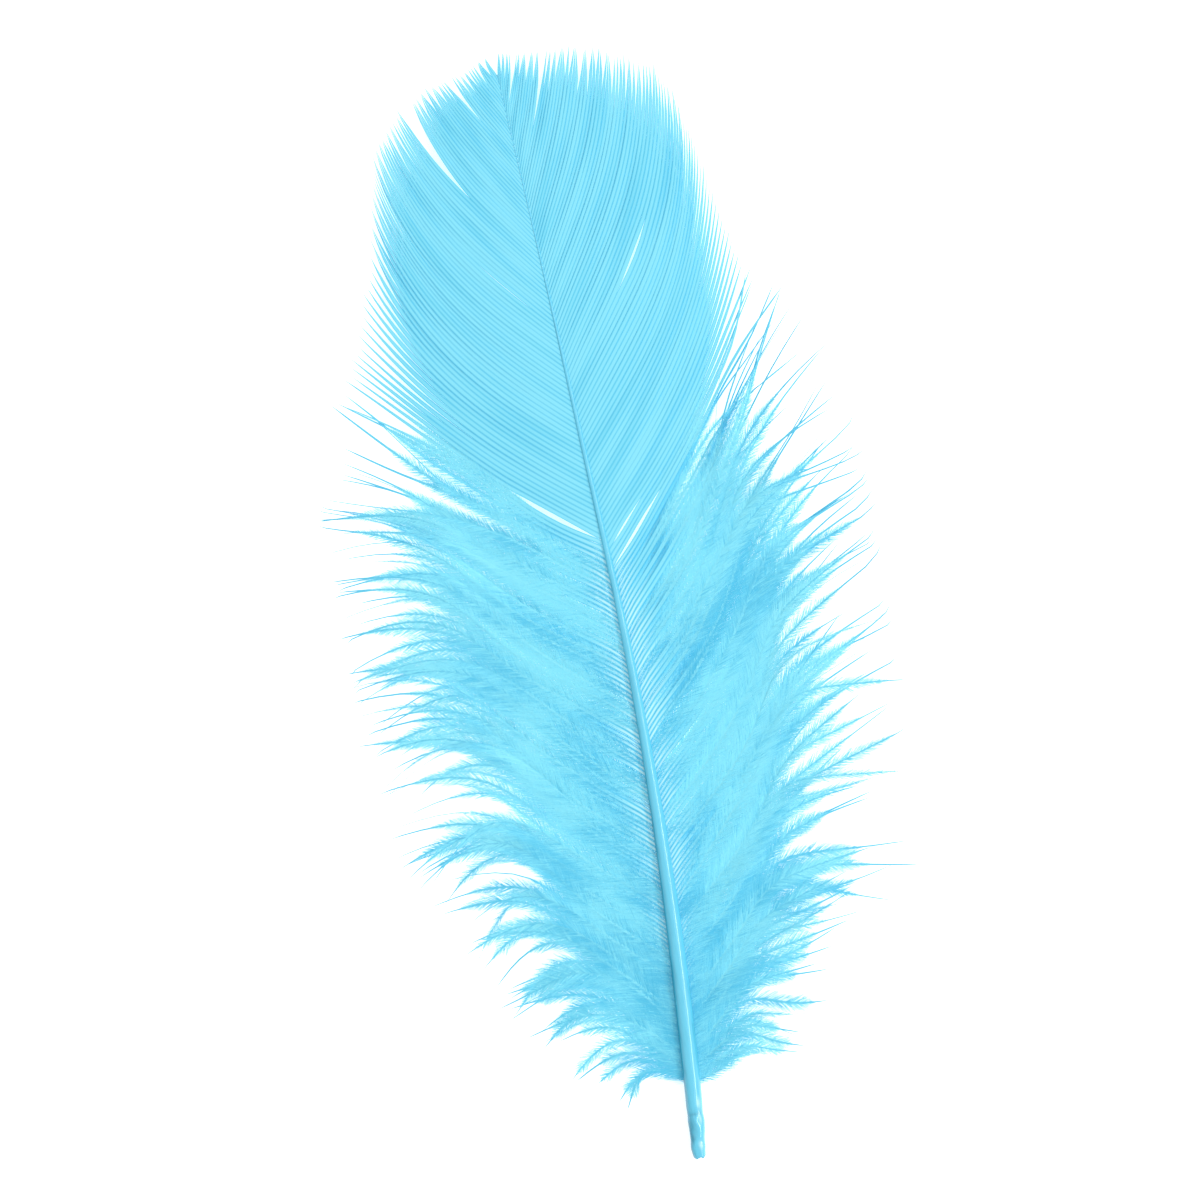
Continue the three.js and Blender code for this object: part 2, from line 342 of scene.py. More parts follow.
# A rib's half-width is at most WIDEST_RIB, and ribs overlap a little in the web. A loose barb is
# slimmer towards its tip by CORE_TAPER. The web turns into it over WEB_FADES each way.
WIDEST_RIB = 0.31
OVERLAP = 1.04
CORE_TAPER = 0.45
WEB_FADES = 0.05

# How high a rib bulges over its edges at the tip, and how much more at the root, but never more
# than THICKEST times its half-width. Its two shoulders stand SHOULDER of the way out, and it bulges
# only BELOW as much on its lower side.
TIP_HEIGHT = 0.02
RIB_HEIGHT = 0.03
THICKEST = 1.4
SHOULDER = 0.34
BELOW = 0.35

# How far loose barbs roll and curl about their own line and barbules stray up and down, in degrees.
ROLL = 10
ROLL_STRAYS = 8
CURL_STRAYS = 45
TILT_STRAYS = 14

# Barbules leave their barb at SWEEP degrees and lean together in bunches of so many, each turned
# by BUNCH_TURN from the next. They start a little before the web ends, as short stumps. Those in
# the outer part of a barb are shorter and thinner by these shares.
COMB_BASE = 0.02
SWEEP = 34.0
SWEEP_STRAYS = 2.5
BUNCH = 4
BUNCH_TURN = 3.2
BEFORE_WEB_END = 0.16
STUMP = 0.06
SHORTER_OUT = 0.15
THINNER_OUT = 0.86
OUTER_PART = (0.4, 0.8)

# Faces that meet at more than this are shaded apart.
SHARP_EDGE = math.radians(65)


def read(table, along):
    """Values of a table of (along, value) rows, straight between its rows."""
    return np.interp(along, [row[0] for row in table], [row[1] for row in table])


def smooth(table, along):
    """The same as a smooth curve through the rows."""
    places = np.array([row[0] for row in table], float)
    values = np.array([row[1] for row in table], float)
    slopes = np.gradient(values, places)
    along = np.clip(np.asarray(along, float), places[0], places[-1])
    row = np.clip(np.searchsorted(places, along) - 1, 0, len(places) - 2)
    span = places[row + 1] - places[row]
    t = (along - places[row]) / span
    start = values[row] * (1 + 2 * t) * (1 - t) ** 2 + slopes[row] * span * t * (1 - t) ** 2
    end = values[row + 1] * (3 - 2 * t) * t**2 + slopes[row + 1] * span * t**2 * (t - 1)
    return start + end


def ease(low, high, value):
    """0 below low, 1 above high, and smooth between them."""
    t = np.clip((np.asarray(value, float) - low) / (high - low), 0, 1)
    return t * t * (3 - 2 * t)


def knee(low, high, value):
    """0 below low, and a slope of 1 above high, with a smooth turn between them."""
    turning = np.clip(value - low, 0, high - low)
    return turning**2 / (2 * (high - low)) + np.clip(value - high, 0, None)


def shaft_height(along):
    """Height of the shaft's axis over the table."""
    share = np.clip(np.asarray(along, float) / SHAFT_LENGTH, 0, 1)
    return QUILL_REST + (TIP_REST - QUILL_REST) * share + ARCH * np.sin(math.pi * share)


def headings(side, degrees):
    """Directions at so many degrees from the shaft, out to one side."""
    turned = np.radians(degrees)
    return np.stack([side * np.sin(turned), np.cos(turned)], axis=-1)


def grow(half, sizes):
    """All barbs of one side: their centre lines and the directions across and up, station by
    station, and what else their ribs and barbules need."""
    roots = [DOWN_FROM]
    while roots[-1] < VANE_TOP:
        roots.append(roots[-1] + read(BARB_SPACING, roots[-1]) * sizes.spacing)
    roots = np.array(roots[:-1])
    woven = ease(*half["woven"], roots)
    barbs = {
        "side": half["side"],
        "rng": np.random.default_rng(half["seed"]),
        "roots": roots,
        "woven": woven,
        "loose": 1 - woven,
        "shares": np.linspace(0, 1, RIB_SEGMENTS + 1) ** SHORTER_AT_ROOT,
        "fluff": read(half["fluff"], roots),
    }
    group(half, barbs)
    flat = curves(half, barbs)
    centre = np.concatenate([flat, heights(barbs, sizes)[..., None]], axis=2)
    stray(barbs, centre)
    mark(half, barbs)
    barbs["room"] = room_between(centre)
    part_the_web(half, barbs, centre)
    gather_tips(barbs, centre)
    orient(barbs, centre, sizes)
    return barbs


def group(half, barbs):
    """Groups neighbouring barbs, and sets how much of each one is kept and how much is webbed."""
    rng = barbs["rng"]
    roots = barbs["roots"]
    count = len(roots)
    kept = 1 - half["short"] * rng.random(count) ** 1.3 * barbs["loose"]
    barbs["kept"] = kept - VANE_SHORT * rng.random(count) * barbs["woven"]
    barbs["tufts"] = tuft_numbers(rng, count, *TUFT_OF)
    barbs["plumes"] = tuft_numbers(rng, count, *PLUME_OF)
    clumps = tuft_numbers(rng, count, 1, 1 + (2 * ease(*CLUMPS_GROW, roots)).astype(int))
    clumps += np.searchsorted(sorted(row[0] for row in half["splits"]), roots)
    barbs["clumps"] = clumps
    web = read(half["web"], roots) + WEB_PAST - NOTCH * rng.exponential(1, count)
    web = gathered(web, clumps) + WEB_STRAYS * rng.normal(0, 1, count)
    barbs["web"] = np.clip(web, SHORTEST_WEB, LONGEST_WEB)


def curves(half, barbs):
    """Each barb's line as seen from above, from the shaft to its tip."""
    roots = barbs["roots"]
    loose = barbs["loose"]
    table = np.array(half["barbs"], float)
    leaves = np.interp(roots, table[:, 0], table[:, 1])
    carried = read(half["carry"], roots)
    out, tip_along, ends = (np.interp(carried, table[:, 0], table[:, i]) for i in (2, 3, 4))
    ends += half["lift"] * loose
    out *= 1 + TIPS_PAST_OUTLINE * loose
    size = np.clip(out / FULL_SIZE, SMALLEST_SIZE, 1)

    start = np.stack([smooth(SHAFT_BOW, roots), roots], axis=-1)
    tip = np.stack([half["side"] * out, tip_along], axis=-1)
    reach = np.linalg.norm(tip - start, axis=1)[:, None]
    swaying = 1 - ease(*half["steady"], roots)
    early = (STEADY_AT_ROOT + (half["sway"] - STEADY_AT_ROOT) * swaying)[:, None]
    late = (STEADY_AT_TIP + (half["sway"] - STEADY_AT_TIP) * swaying)[:, None]
    leaving = start + headings(half["side"], leaves) * early * reach
    ending = tip - headings(half["side"], ends) * late * reach
    t = np.linspace(0, 1, 4 * RIB_SEGMENTS + 1)[None, :, None]
    line = (
        start[:, None] * (1 - t) ** 3
        + 3 * leaving[:, None] * t * (1 - t) ** 2
        + 3 * ending[:, None] * t**2 * (1 - t)
        + tip[:, None] * t**3
    )
    from_root = np.linalg.norm(line - start[:, None], axis=2)
    line[..., 1] -= (ROOT_BEND * size * loose)[:, None] * np.exp(-from_root / ROOT_BEND_REACH)
    flat, barbs["lengths"] = evenly(line, barbs["shares"], barbs["kept"])
    barbs["size"] = size
    return flat


def heights(barbs, sizes):
    """Heights over the table: an arched sheet in the vane, a loose pile in the down."""
    rng = barbs["rng"]
    shares = barbs["shares"]
    tufts = barbs["tufts"]
    size = barbs["size"][:, None]
    roots = barbs["roots"][:, None]
    root_height = shaft_height(roots)
    sheet = root_height + (MARGIN_REST - root_height) * shares**1.6
    lying = 0.5 * rng.random(roots.shape) + 0.5 * rng.random((tufts.max() + 1, 1))[tufts]
    rests = PILE_FLOOR + PILE_HEIGHT * lying**1.3 * size
    pile = rests + (root_height - UNDER_AXIS - rests) * (1 - shares) ** 1.7
    loft = sizes.loft * size * (0.2 + 0.8 * lying)
    pile += loft * np.sin(math.pi * shares**0.8) * ease(0.08, 0.4, shares)
    height = sheet + (pile - sheet) * barbs["loose"][:, None]
    wave = np.sin(WAVES_ALONG * roots + WAVES_OUT * shares) * np.sin(math.pi * shares)
    barbs["lying"] = lying[:, 0]
    return height + barbs["woven"][:, None] * WAVE * wave


def stray(barbs, centre):
    """Gathers downy barbs in tufts past the web, and lets each one stray a little."""
    rng = barbs["rng"]
    tufts = barbs["tufts"]
    web = barbs["web"][:, None]
    past = np.clip((barbs["shares"] - web) / (1 - web), 0, 1)
    bend = ease(0, 0.9, past)
    with_tuft = rng.normal(0, 1, (3, tufts.max() + 1, 1))[:, tufts]
    # The fourth row isn't used, and stays for the sake of the draws that follow it.
    alone = rng.normal(0, 1, (4, len(tufts), 1))
    astray = bend * (BEND_WITH_TUFT * with_tuft[0] + BEND_ALONE * alone[0])
    astray += knee(0.35, 0.65, past) * (TIP_WITH_TUFT * with_tuft[1] + TIP_ALONE * alone[1])
    astray += np.sin(2 * math.pi * past) * WAVY * (with_tuft[2] + alone[2])
    astray *= (barbs["size"] * barbs["loose"])[:, None]
    centre[..., :2] += sideways(centre) * astray[..., None]
    pull = (GATHERED_BY * barbs["loose"][:, None] * bend)[..., None]
    for groups in (tufts, barbs["plumes"]):
        centre += (gathered(centre, groups) - centre) * pull
    out_of_middle = centre[..., 0] - MIDDLE_X
    too_far = np.clip(np.abs(out_of_middle) - STRAY_FROM, 0, None)
    centre[..., 0] -= np.sign(out_of_middle) * too_far * HELD_BACK


def mark(half, barbs):
    """Sets where each barb's barbules end, and how it differs in tone from the others, with painted
    shade on down that lies lower and in its soft hollows.
    """
    rng = barbs["rng"]
    roots = barbs["roots"]
    count = len(roots)
    stations = len(barbs["shares"])
    bald = read(half["bald"], roots) + BALD_STRAYS * rng.normal(0, 1, count)
    barbs["bald"] = np.clip(bald, 0.3, 0.97)
    # Down that lies lower gets painted shade, and down that lies higher is lighter; the rest of the
    # tone strays at random.
    tone = (2 * barbs["lying"] - 1) * barbs["loose"] + TONE_STRAYS * rng.normal(0, 1, count)
    barbs["tone"] = tone - DARKER_AT_QUILL * (1 - ease(*NEAR_QUILL, roots))
    barbs["streak"] = cloudy(rng, count, stations, 3, 9)
    # Soft patches of painted shade and light, for the hollows and tufts of the down.
    barbs["hollow"] = cloudy(rng, count, stations, 9, 6)


def tuft_numbers(rng, count, fewest, most):
    """Numbers neighbouring barbs by the tuft they gather in, of so many barbs at the fewest and at
    the most."""
    fewest, most = (np.broadcast_to(limit, count) for limit in (fewest, most))
    numbers = np.zeros(count, int)
    place = 0
    tuft = 0
    while place < count:
        size = int(rng.integers(fewest[place], most[place] + 1))
        numbers[place : place + size] = tuft
        place += size
        tuft += 1
    return numbers


def gathered(values, groups):
    """The mean of the values over each one's group."""
    totals = np.zeros((groups.max() + 1,) + values.shape[1:])
    np.add.at(totals, groups, values)
    sizes = np.bincount(groups).reshape((-1,) + (1,) * (values.ndim - 1))
    return (totals / sizes)[groups]


def evenly(fine, shares, kept):
    """Points at equal steps along the kept part of each curve, and its length."""
    steps = np.linalg.norm(np.diff(fine, axis=1), axis=2)
    travelled = np.concatenate([np.zeros((len(fine), 1)), np.cumsum(steps, axis=1)], axis=1)
    lengths = travelled[:, -1] * kept
    spaced = np.empty((len(fine), len(shares), 2))
    for i, line in enumerate(fine):
        for axis in range(2):
            spaced[i, :, axis] = np.interp(shares * lengths[i], travelled[i], line[:, axis])
    return spaced, lengths


def sideways(centre):
    """The level direction across each barb, towards the tip of the feather."""
    along = np.gradient(centre[..., :2], axis=1)
    along /= np.linalg.norm(along, axis=2, keepdims=True)
    across = np.stack([-along[..., 1], along[..., 0]], axis=-1)
    forward = np.where(across[:, :1, 1:2] < 0, -1.0, 1.0)
    return across * forward


def cloudy(rng, rows, columns, row_reach, column_reach):
    """Soft random patches that reach so many rows and columns."""
    patches = rng.normal(0, 1, (rows, columns))
    for axis, reach in ((0, row_reach), (1, column_reach)):
        kernel = np.hanning(reach + 2)
        patches = np.apply_along_axis(np.convolve, axis, patches, kernel, mode="same")
    return patches / patches.std()


def room_between(centre):
    """Half the distance across to the next barb and to the one before, station by station."""
    gap = np.diff(centre[..., :2], axis=0)
    after = np.abs((gap * sideways(centre)[:-1]).sum(axis=2)) / 2
    after = np.concatenate([after, after[-1:]])
    return after, np.concatenate([after[:1], after[:-1]])


def part_the_web(half, barbs, centre):
    """Opens the splits and slits between the barbs of the vane."""
    across = sideways(centre)
    shares = barbs["shares"]
    for root, first, last, gap in half["splits"]:
        away = barbs["roots"] - root
        nearness = np.exp(-np.abs(away) / SPLIT_REACH) * np.sign(away)
        middle = (first + last) / 2
        half_span = (last - first) / 2
        opening = np.clip(1 - ((shares - middle) / half_span) ** 2, 0, 1)
        if last == 1:
            opening = np.clip((shares - first) / (last - first), 0, 1)
        centre[..., :2] += across * (nearness[:, None] * opening * gap / 2)[..., None]


def gather_tips(barbs, centre):
    """Draws the tips of the vane's barbs together in small points, with notches between them."""
    shares = barbs["shares"]
    clumps = barbs["clumps"]
    start = gathered(barbs["web"], clumps)[:, None]
    drawn = np.clip((shares - start) / (1 - start), 0, 1) * TIPS_DRAWN_BY
    middle = gathered(centre, clumps)
    across = sideways(centre)
    offset = ((middle - centre)[..., :2] * across).sum(axis=2)
    centre[..., :2] += across * (offset * drawn * barbs["woven"][:, None])[..., None]
    barbs["drawn"] = drawn


def orient(barbs, centre, sizes):
    """Stores each barb's line, its directions and how wide its rib is towards each neighbour."""
    rng = barbs["rng"]
    shares = barbs["shares"]
    loose = barbs["loose"][:, None]
    count = len(centre)
    level = np.concatenate([sideways(centre), np.zeros(centre.shape[:2] + (1,))], axis=2)
    along = np.gradient(centre, axis=1)
    along /= np.linalg.norm(along, axis=2, keepdims=True)
    up = np.cross(along, level) * -barbs["side"]
    up /= np.linalg.norm(up, axis=2, keepdims=True)

    web = barbs["web"][:, None]
    bare = ease(web - WEB_FADES, web + WEB_FADES, shares) * loose
    core = sizes.core / 2 * (1 - CORE_TAPER * shares)
    point = np.sqrt(np.clip(1 - shares**9, 0, 1))
    widths = []
    narrowed = 1 - 0.8 * barbs["drawn"] * barbs["woven"][:, None]
    for towards, usual in zip(room_between(centre), barbs["room"]):
        webbed = np.minimum(towards, np.minimum(usual, WIDEST_RIB) * narrowed) * OVERLAP
        widths.append((webbed + (core - webbed) * bare) * point)

    roll = np.radians(ROLL + ROLL_STRAYS * rng.normal(0, 1, (count, 1)))
    curl = np.radians(CURL_STRAYS * rng.normal(0, 1, (count, 1))) * ease(0.25, 0.8, shares)
    turn = ((roll + curl) * loose)[..., None]
    barbs["across"] = level * np.cos(turn) + up * np.sin(turn)
    barbs["up"] = up * np.cos(turn) - level * np.sin(turn)
    barbs["along"] = along
    barbs["centre"] = centre
    barbs["widths"] = widths
    barbs["bare"] = bare
    barbs["thick"] = RIB_HEIGHT * (1 - 0.7 * shares) + TIP_HEIGHT


def deselect_all():
    if bpy.context.mode != "OBJECT":
        bpy.ops.object.mode_set(mode="OBJECT")
    bpy.ops.object.select_all(action="DESELECT")


def select_only(*pieces):
    deselect_all()
    for piece in pieces:
        piece.select_set(True)
    bpy.context.view_layer.objects.active = pieces[0]


def place_is_in_mesh(piece):
    select_only(piece)
    bpy.ops.object.transform_apply(location=True, rotation=True, scale=True)


def apply_all_modifiers(piece):
    select_only(piece)
    for modifier in list(piece.modifiers):
        bpy.ops.object.modifier_apply(modifier=modifier.name)


def model_rib():
    """One rib, a six-sided tube of unit length along X, of unit half-width and open to shaping."""
    deselect_all()
    bpy.ops.mesh.primitive_cylinder_add(
        vertices=6,
        radius=1,
        depth=1 / RIB_SEGMENTS,
        end_fill_type="NOTHING",
        location=(0.5 / RIB_SEGMENTS, 0, 0),
        rotation=(0, math.pi / 2, 0),
    )
    rib = bpy.context.object
    place_is_in_mesh(rib)
    repeat = rib.modifiers.new("Segments", "ARRAY")
    repeat.count = RIB_SEGMENTS
    repeat.use_relative_offset = False
    repeat.use_constant_offset = True
    repeat.constant_offset_displace = (1 / RIB_SEGMENTS, 0, 0)
    repeat.use_merge_vertices = True
    repeat.merge_threshold = 0.1 / RIB_SEGMENTS
    apply_all_modifiers(rib)
    bpy.ops.object.mode_set(mode="EDIT")
    bpy.ops.mesh.select_all(action="SELECT")
    bpy.ops.mesh.fill_holes(sides=6)
    bpy.ops.mesh.normals_make_consistent(inside=False)
    bpy.ops.object.mode_set(mode="OBJECT")
    bpy.ops.object.shade_smooth()
    return rib


def model_comb(count, spacing, radius):
    """A comb of unit-long barbules on both sides of a barb that runs along X."""
    deselect_all()
    bpy.ops.mesh.primitive_cone_add(
        vertices=3,
        radius1=radius,
        radius2=0,
        depth=1,
        location=(0, 0.5 + COMB_BASE, 0),
        rotation=(-math.pi / 2, 0, 0),
    )
    comb = bpy.context.object
    place_is_in_mesh(comb)
    mirror = comb.modifiers.new("Both sides", "MIRROR")
    mirror.use_axis = (False, True, False)
    mirror.use_mirror_merge = False
    repeat = comb.modifiers.new("Along the barb", "ARRAY")
    repeat.count = count
    repeat.use_relative_offset = False
    repeat.use_constant_offset = True
    repeat.constant_offset_displace = (spacing, 0, 0)
    apply_all_modifiers(comb)
    bpy.ops.object.shade_smooth()
    return comb


def points_of(mesh):
    flat = np.empty(3 * len(mesh.vertices), np.float32)
    mesh.vertices.foreach_get("co", flat)
    return flat.reshape(-1, 3).astype(float)


def write_points(mesh, points):
    """Moves the mesh's points to places in millimetres, none of them below the table."""
    moved = points - (MIDDLE_X, MIDDLE_Y, 0)
    moved[:, 2] = np.maximum(moved[:, 2], LOWEST)
    mesh.vertices.foreach_set("co", (moved * MM).astype(np.float32).ravel())
    mesh.update()


def write_values(mesh, **values):
    """Stores a number for every point under each name, for the materials to read."""
    for name, numbers in values.items():
        layer = mesh.attributes.get(name) or mesh.attributes.new(name, "FLOAT", "POINT")
        spread = np.broadcast_to(np.asarray(numbers, np.float32), (len(mesh.vertices),))
        layer.data.foreach_set("value", np.ascontiguousarray(spread))


def copy_of(template):
    piece = template.copy()
    piece.data = template.data.copy()
    bpy.context.collection.objects.link(piece)
    return piece


def lay_rib(template, barbs, i):
    """A copy of the rib, laid along barb number i."""
    rib = copy_of(template)
    shape = points_of(template.data)
    station = np.rint(shape[:, 0] * RIB_SEGMENTS).astype(int)
    shoulder = np.abs(shape[:, 1]) < 0.75
    across_share = np.where(shoulder, SHOULDER, 1.0) * np.sign(shape[:, 1])
    forward, backward = (width[i][station] for width in barbs["widths"])
    reach = np.where(across_share > 0, forward, backward) * across_share
    thick = barbs["thick"][station]
    slim = np.minimum(thick, THICKEST * np.maximum(forward, backward))
    rise = np.where(shoulder, np.sign(shape[:, 2]), 0.0) * slim
    rise = np.where(rise < 0, rise * BELOW, rise)
    points = barbs["centre"][i][station]
    points = points + barbs["across"][i][station] * reach[:, None]
    points = points + barbs["up"][i][station] * rise[:, None]
    write_points(rib.data, points)
    write_values(
        rib.data,
        across=across_share,
        share=barbs["shares"][station],
        tone=barbs["tone"][i],
        bare=barbs["bare"][i][station],
        streak=barbs["streak"][i][station],
        loose=barbs["loose"][i],
    )
    return rib


def lay_comb(templates, barbs, i, sizes):
    """The barbules of barb number i, swept forward along it."""
    rng = barbs["rng"]
    length = barbs["lengths"][i]
    web = barbs["web"][i]
    bald = barbs["bald"][i]
    first = int(max(web - BEFORE_WEB_END, 0) * length / sizes.barbule_spacing)
    count = int(length * max(bald, web) / sizes.barbule_spacing) - first
    if count not in templates:
        templates[count] = model_comb(count, sizes.barbule_spacing, sizes.barbule_width / 2)
    comb = copy_of(templates[count])
    shape = points_of(comb.data)
    step = np.clip(np.rint(shape[:, 0] / sizes.barbule_spacing).astype(int), 0, count - 1)
    which = step * 2 + (shape[:, 1] > 0)
    is_tip = np.abs(shape[:, 1]) > 0.5
    share = (first + step) * sizes.barbule_spacing / length

    fluff = barbs["fluff"][i]
    envelope = STUMP + (1 - STUMP) * ease(web - BEFORE_WEB_END, web - 0.01, share)
    envelope *= (1 - SHORTER_OUT * ease(0.4, 0.7, share)) * (1 - ease(bald - 0.2, bald, share))
    envelope *= fluff * barbs["size"][i] ** 0.3
    breadth = (1 - THINNER_OUT * ease(*OUTER_PART, share)) * (0.3 + 0.7 * fluff)
    uneven = 0.84 + 0.3 * rng.random(2 * count)
    long = sizes.barbule * envelope * uneven[which]
    in_bunch = (np.arange(count) + rng.integers(0, 2, count)) % BUNCH - (BUNCH - 1) / 2
    sweep = np.repeat(SWEEP + BUNCH_TURN * in_bunch, 2)
    sweep += SWEEP_STRAYS * rng.normal(0, 1, 2 * count)
    sweep = np.radians(sweep)[which]
    bunch_tone = np.repeat(rng.normal(0, 1, (count // BUNCH + 1, 2)), BUNCH, axis=0)
    bunch_tone = bunch_tone[:count].ravel()
    tilt = np.radians(TILT_STRAYS * rng.normal(0, 1, 2 * count))[which]

    def at(key):
        columns = barbs[key][i].T
        return np.stack([np.interp(share, barbs["shares"], column) for column in columns], axis=1)

    centre, along, across, up = (at(key) for key in ("centre", "along", "across", "up"))
    outwards = across * (np.sign(shape[:, 1]) * np.cos(tilt))[:, None]
    outwards += up * np.sin(tilt)[:, None]
    spike = along * np.cos(sweep)[:, None] + outwards * np.sin(sweep)[:, None]
    beside = (shape[:, 0] - step * sizes.barbule_spacing) * breadth
    root = along * beside[:, None] + up * (shape[:, 2] * breadth * 0.5)[:, None]
    points = centre + np.where(is_tip[:, None], spike * long[:, None], root)
    write_points(comb.data, points)
    tone = (0.7 * bunch_tone + 0.5 * rng.normal(0, 1, 2 * count))[which]
    # The painted shade of the hollows fades out in the outer part, which is lighter towards the
    # tips.
    hollow = np.interp(share, barbs["shares"], barbs["hollow"][i])
    write_values(
        comb.data,
        across=np.where(is_tip, 1.0, 0.4),
        tone=barbs["tone"][i] + 2.5 * (1 - fluff) + tone,
        hollow=hollow * (1 - ease(*OUTER_PART, share)) + ease(0.5, 0.85, share),
    )
    return comb


def joined(pieces, name):
    select_only(*pieces)
    if len(pieces) > 1:
        bpy.ops.object.join()
    bpy.ops.object.shade_smooth_by_angle(angle=SHARP_EDGE)
    whole = bpy.context.object
    whole.name = name
    whole.data.name = name
    return whole


def remove_templates(templates):
    for template in templates:
        bpy.data.meshes.remove(template.data)


def settle(piece, material):
    """Gives a finished piece its material and its place in the frame of the part."""
    piece.data.materials.clear()
    piece.data.materials.append(material)
    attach(piece, "root")
    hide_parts("feather")


class Value:
    """A shader value, with which a sum or a product is written as plain arithmetic."""

    def __init__(self, nodes, socket):
        self.nodes = nodes
        self.socket = socket

    def maths(self, operation, first, second=None):
        values = [first] if second is None else [first, second]
        node = self.nodes.add("ShaderNodeMath", {"operation": operation}, dict(enumerate(values)))
        return Value(self.nodes, node.outputs[0])

    def __add__(self, other):
        return self.maths("ADD", self, other)

    def __radd__(self, other):
        return self.maths("ADD", other, self)

    def __sub__(self, other):
        return self.maths("SUBTRACT", self, other)

    def __rsub__(self, other):
        return self.maths("SUBTRACT", other, self)

    def __mul__(self, other):
        return self.maths("MULTIPLY", self, other)

    def size(self):
        return self.maths("ABSOLUTE", self)

    def between(self, low, high):
        """0 at low and below, 1 at high and above."""
        settings = {"interpolation_type": "SMOOTHSTEP"}
        values = {"Value": self, "From Min": low, "From Max": high}
        node = self.nodes.add("ShaderNodeMapRange", settings, values)
        return Value(self.nodes, node.outputs["Result"])


class Nodes:
    """The nodes of one material."""

    def __init__(self, name):
        self.material = bpy.data.materials.new(name)
        self.material.use_nodes = True
        self.tree = self.material.node_tree
        self.tree.nodes.clear()

    def add(self, kind, settings=None, values=None):
        """A node of a kind: its settings first, then the values or links of its sockets."""
        node = self.tree.nodes.new(kind)
        for name, setting in (settings or {}).items():
            setattr(node, name, setting)
        for name, value in (values or {}).items():
            socket = node.inputs[name]
            if isinstance(value, Value):
                self.tree.links.new(value.socket, socket)
            elif isinstance(value, bpy.types.NodeSocket):
                self.tree.links.new(value, socket)
            elif socket.type == "RGBA":
                socket.default_value = (*value, 1.0)
            else:
                socket.default_value = value
        return node

    def attribute(self, name):
        node = self.add("ShaderNodeAttribute", {"attribute_name": name})
        return Value(self, node.outputs["Fac"])

    def noise(self, scale, stretch=(1.0, 1.0, 1.0)):
        """Noise over the piece, with scale in waves a metre."""
        place = self.add("ShaderNodeTexCoord").outputs["Object"]
        values = {"Vector": place, "Scale": stretch}
        stretched = self.add("ShaderNodeMapping", None, values).outputs[0]
        node = self.add("ShaderNodeTexNoise", None, {"Vector": stretched, "Scale": scale})
        return Value(self, node.outputs["Fac"])

    def mix(self, share, first, second):
        """A colour between two others."""
        values = {"Factor": share, 6: first, 7: second}
        node = self.add("ShaderNodeMix", {"data_type": "RGBA"}, values)
        return node.outputs[2]

    def bump(self, height, distance):
        values = {"Height": height, "Distance": distance}
        return self.add("ShaderNodeBump", None, values).outputs["Normal"]

    def finish(self, **sockets):
        shader = self.add("ShaderNodeBsdfPrincipled", None, sockets)
        self.add("ShaderNodeOutputMaterial", None, {"Surface": shader.outputs[0]})
        return self.material


# Waves a metre in the patches of the down and in the fine streaks along the horn, how the streaks
# are drawn out, and their depth in metres.
PATCH_SCALE = 260.0
STREAK_SCALE = 1800.0
STREAK_STRETCH = (1.0, 0.12, 1.0)
STREAK_DEPTH = 0.00001


def barb_material(name, colours):
    """Dyed barbs: each rib has a painted highlight on its crest between painted shade in its
    grooves, the loose barbs beside the shaft have a painted highlight line, and the loose barbs of
    the down are darker lines in paler barbules."""
    nodes = Nodes(name)
    lit_crest = 1.0 - nodes.attribute("across").size().between(0.3, 1.0)
    shade = 0.5 + nodes.attribute("tone") * 0.2 + nodes.attribute("streak") * 0.25
    # Painted relief: a painted highlight on each crest and painted shade in the grooves, strongest
    # on loose ribs.
    painted_relief = (lit_crest - 0.35) * (0.75 + nodes.attribute("loose") * 0.8) + 0.135
    web = nodes.mix((painted_relief + shade * 0.5).between(0.0, 1.0), colours.shaded_groove, colours.lit_crest)
    share = nodes.attribute("share")
    loose = nodes.mix(share.between(0.3, 0.75), colours.down, colours.core)
    # A painted highlight line along each loose barb beside the shaft.
    sheen_beside_shaft = nodes.attribute("loose") * (1.0 - share.between(0.03, 0.16))
    line = 1.0 - nodes.attribute("across").size().between(0.15, 0.6)
    web = nodes.mix(sheen_beside_shaft * line * 0.85, web, colours.painted_sheen)
    dyed = nodes.mix(nodes.attribute("bare"), web, loose)
    return nodes.finish(**{"Base Color": dyed, "Roughness": 0.55, "IOR": 1.4})


def barbule_material(name, colours):
    """The down's barbules, dyed thinner than the barbs that bear them, in painted shade where they
    lie lower and in soft hollows, and lighter at their tips.
    """
    nodes = Nodes(name)
    patches = nodes.noise(PATCH_SCALE).between(0.3, 0.7)
    shade = 0.37 + nodes.attribute("tone") * 0.3 + patches * 0.25
    # The hollows of the down are darkened by painted shade, and barbule tips are lighter than their
    # roots.
    shade = shade + nodes.attribute("across") * 0.15 + nodes.attribute("hollow") * 0.26
    # From the painted shade of lower-lying down to the down's own colour on top.
    dyed = nodes.mix(shade.between(0.0, 1.0), colours.shaded_down, colours.down)
    return nodes.finish(**{"Base Color": dyed, "Roughness": 0.9, "Specular IOR Level": 0.15})


